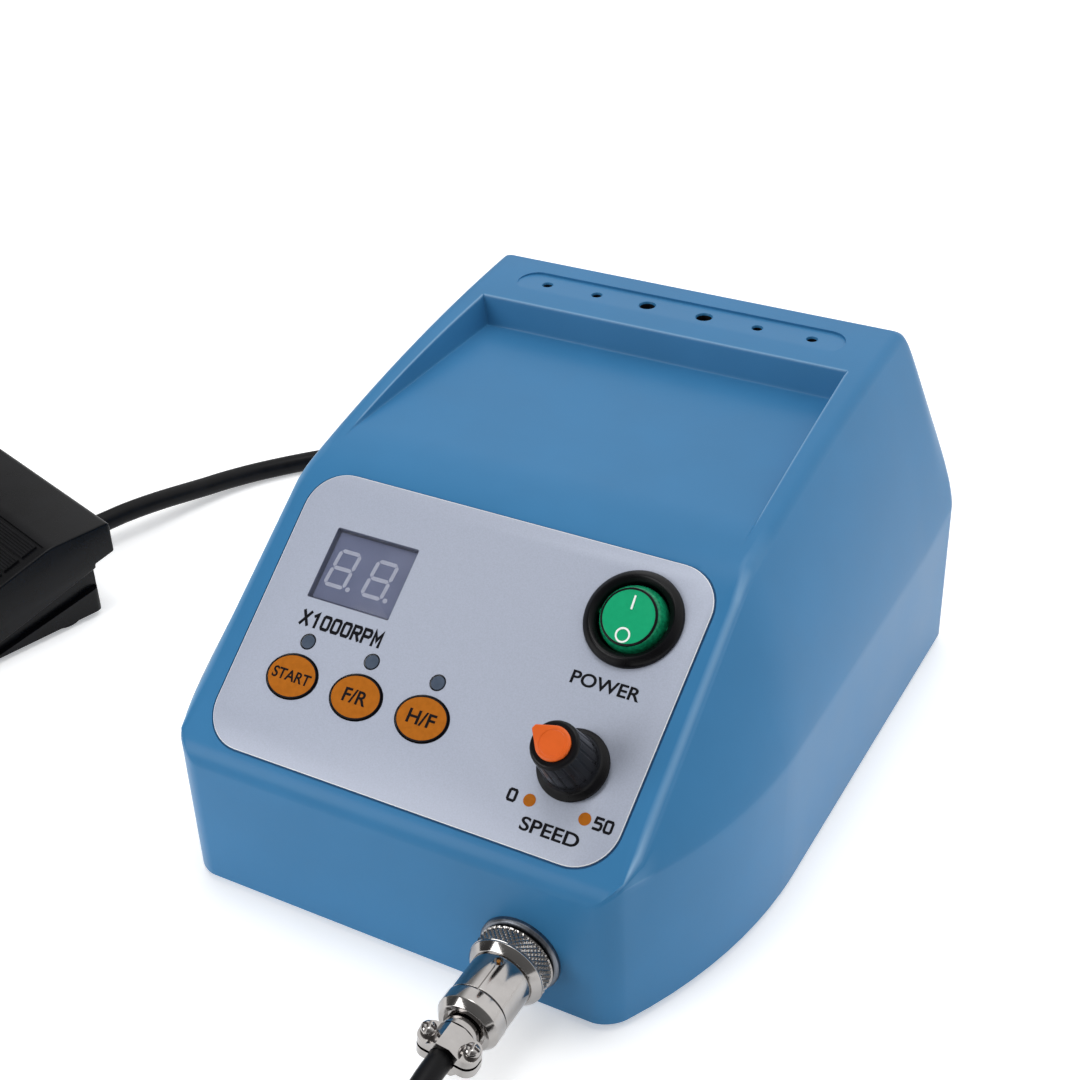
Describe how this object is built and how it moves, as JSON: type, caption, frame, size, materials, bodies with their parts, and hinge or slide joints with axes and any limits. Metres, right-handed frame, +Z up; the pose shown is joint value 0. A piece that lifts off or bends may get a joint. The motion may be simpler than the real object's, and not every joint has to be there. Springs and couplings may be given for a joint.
{
  "type": "micromotor control set",
  "caption": "Bench micromotor: wedge-shaped blue control box with sloped panel, tray and bur ledge, wired foot pedal and motor handpiece on a screw-plug cord.",
  "frame": {"origin": "on the bench under the middle of the control box", "axes": "X to the right of the control panel, Y to the rear, Z up"},
  "size_m": [0.3694, 0.453, 0.0961],
  "materials": {
    "housing": "satin moulded plastic, blue",
    "base": "dark moulded plastic",
    "steel": "plated screws and pins",
    "rubber": "matt black rubber",
    "overlay": "silver grey printed film",
    "window": "smoked clear window",
    "display": "grey display face",
    "key": "orange brown key tops",
    "black": "black moulded plastic",
    "lamp": "grey lamp lens",
    "board": "green circuit board",
    "parts": "heat sink and parts",
    "iron": "laminated core",
    "copper": "copper winding",
    "rocker": "green clear plastic",
    "orange": "orange cap",
    "chrome": "bright nickel plate",
    "cord": "black cord jacket",
    "alloy": "satin anodised handpiece",
    "magnet": "sintered magnet"
  },
  "bodies": {
    "box": {"housing": "housing", "base_plate": "base", "base_screws": "steel", "rubber_feet": "rubber", "panel_overlay": "overlay", "display_window": "window", "led_display": "display", "key_switches": "black", "indicator_lamps": "lamp", "display_board": "board", "board_screws": "steel", "main_board": "board", "board_parts": "parts", "transformer_core": "iron", "transformer_coil": "copper", "mains_inlet": "black", "fuse_holder": "black", "pedal_socket": "steel", "switch_body": "black", "potentiometer": "steel", "pot_nut": "steel", "motor_socket": "chrome", "socket_nut": "chrome", "plug_shell": "chrome", "cable_clamp": "chrome", "clamp_screws": "chrome", "motor_cord": "cord", "motor_cord_coil": "cord", "motor_cord_tail": "cord", "motor_cord_tie": "black", "handpiece_boot": "rubber", "handpiece_rear_cap": "alloy", "handpiece_sleeve": "alloy", "handpiece_nose": "alloy", "motor_magnets": "magnet", "spindle_bearings": "steel", "pedal_base": "black", "pedal_hinge_pin": "steel", "pedal_spring": "steel", "pedal_sensor": "board", "pedal_feet": "rubber", "pedal_grommet": "rubber", "pedal_cord": "cord", "pedal_cord_coil": "cord", "pedal_cord_tail": "cord", "pedal_cord_tie": "black", "pedal_plug": "black"},
    "rocker": {"power_rocker": "rocker"},
    "knob": {"speed_knob": "black", "knob_cap": "orange", "pot_shaft": "steel"},
    "start_key": {"start_key": "key"},
    "direction_key": {"direction_key": "key"},
    "hand_foot_key": {"hand_foot_key": "key"},
    "coupling_ring": {"coupling_ring": "chrome"},
    "treadle": {"pedal_treadle": "black", "pedal_magnet": "magnet"},
    "spindle": {"motor_armature": "copper", "collet": "steel"},
    "chuck_ring": {"chuck_ring": "alloy"}
  },
  "joints": [
    {"name": "rocker_tilt", "type": "hinge", "parent": "box", "child": "rocker", "pos_m": [0.0372, -0.03646, 0.07216], "axis": [-1, 0, 0], "range_deg": [0, 18]},
    {"name": "knob_turn", "type": "hinge", "parent": "box", "child": "knob", "pos_m": [0.0372, -0.0684, 0.05701], "axis": [0, -0.5664, 0.8241], "range_deg": [-213, 78]},
    {"name": "start_key_press", "type": "slide", "parent": "box", "child": "start_key", "axis": [0, 0.5664, -0.8241], "range_m": [0, 0.0004], "stiffness_N_per_m": 1500, "springref_m": -0.0006},
    {"name": "direction_key_press", "type": "slide", "parent": "box", "child": "direction_key", "axis": [0, 0.5664, -0.8241], "range_m": [0, 0.0004], "stiffness_N_per_m": 1500, "springref_m": -0.0006},
    {"name": "hand_foot_key_press", "type": "slide", "parent": "box", "child": "hand_foot_key", "axis": [0, 0.5664, -0.8241], "range_m": [0, 0.0004], "stiffness_N_per_m": 1500, "springref_m": -0.0006},
    {"name": "coupling_turn", "type": "hinge", "parent": "box", "child": "coupling_ring", "pos_m": [0.034, -0.0915, 0.0155], "axis": [0, -1, 0], "continuous": true},
    {"name": "treadle_press", "type": "hinge", "parent": "box", "child": "treadle", "pos_m": [-0.20629, -0.06112, 0.0066], "axis": [-0.9511, 0.309, 0], "range_deg": [0, 5], "stiffness_Nm_per_rad": 5, "springref_deg": -5.73, "deforming": ["pedal_spring"]},
    {"name": "spindle_spin", "type": "hinge", "parent": "box", "child": "spindle", "pos_m": [-0.061, -0.208, 0.0137], "axis": [-1, 0, 0], "continuous": true},
    {"name": "chuck_twist", "type": "hinge", "parent": "box", "child": "chuck_ring", "pos_m": [-0.10525, -0.208, 0.0137], "axis": [-1, 0, 0], "range_deg": [0, 60]}
  ]
}
